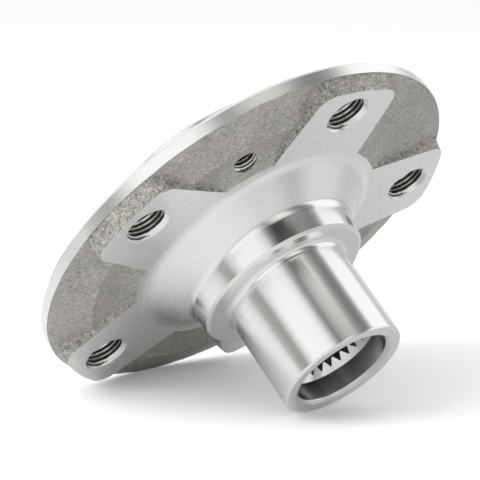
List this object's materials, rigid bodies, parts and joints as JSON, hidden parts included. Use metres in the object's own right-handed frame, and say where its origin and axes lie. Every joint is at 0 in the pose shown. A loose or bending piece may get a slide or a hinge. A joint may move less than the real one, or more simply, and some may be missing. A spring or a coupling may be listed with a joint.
{
  "type": "wheel hub",
  "caption": "Driven-wheel hub: a forged flange with raised threaded bolt bosses, a turned cone and shoulder, a ground bearing journal with a splined bore, and a wheel centring ring.",
  "frame": {"origin": "centre of the wheel bolt circle in the plane of the flange's brake disc face", "axes": "+Z along the hub's axis towards the bearing journal and the drive shaft, +X towards bolt boss 1"},
  "size_m": [0.1456, 0.1456, 0.0829],
  "materials": {
    "forged_steel": "shot-blasted forging skin, matt and grainy",
    "turned_steel": "finely turned, satin",
    "ground_steel": "ground, nearly mirror bright"
  },
  "bodies": {
    "root": {"flange_disc": "forged_steel", "bolt_boss_1": "forged_steel", "bolt_boss_2": "forged_steel", "bolt_boss_3": "forged_steel", "bolt_boss_4": "forged_steel", "bolt_boss_5": "forged_steel", "hub_body": "turned_steel", "bearing_journal": "ground_steel", "wheel_pilot": "turned_steel"}
  },
  "joints": []
}
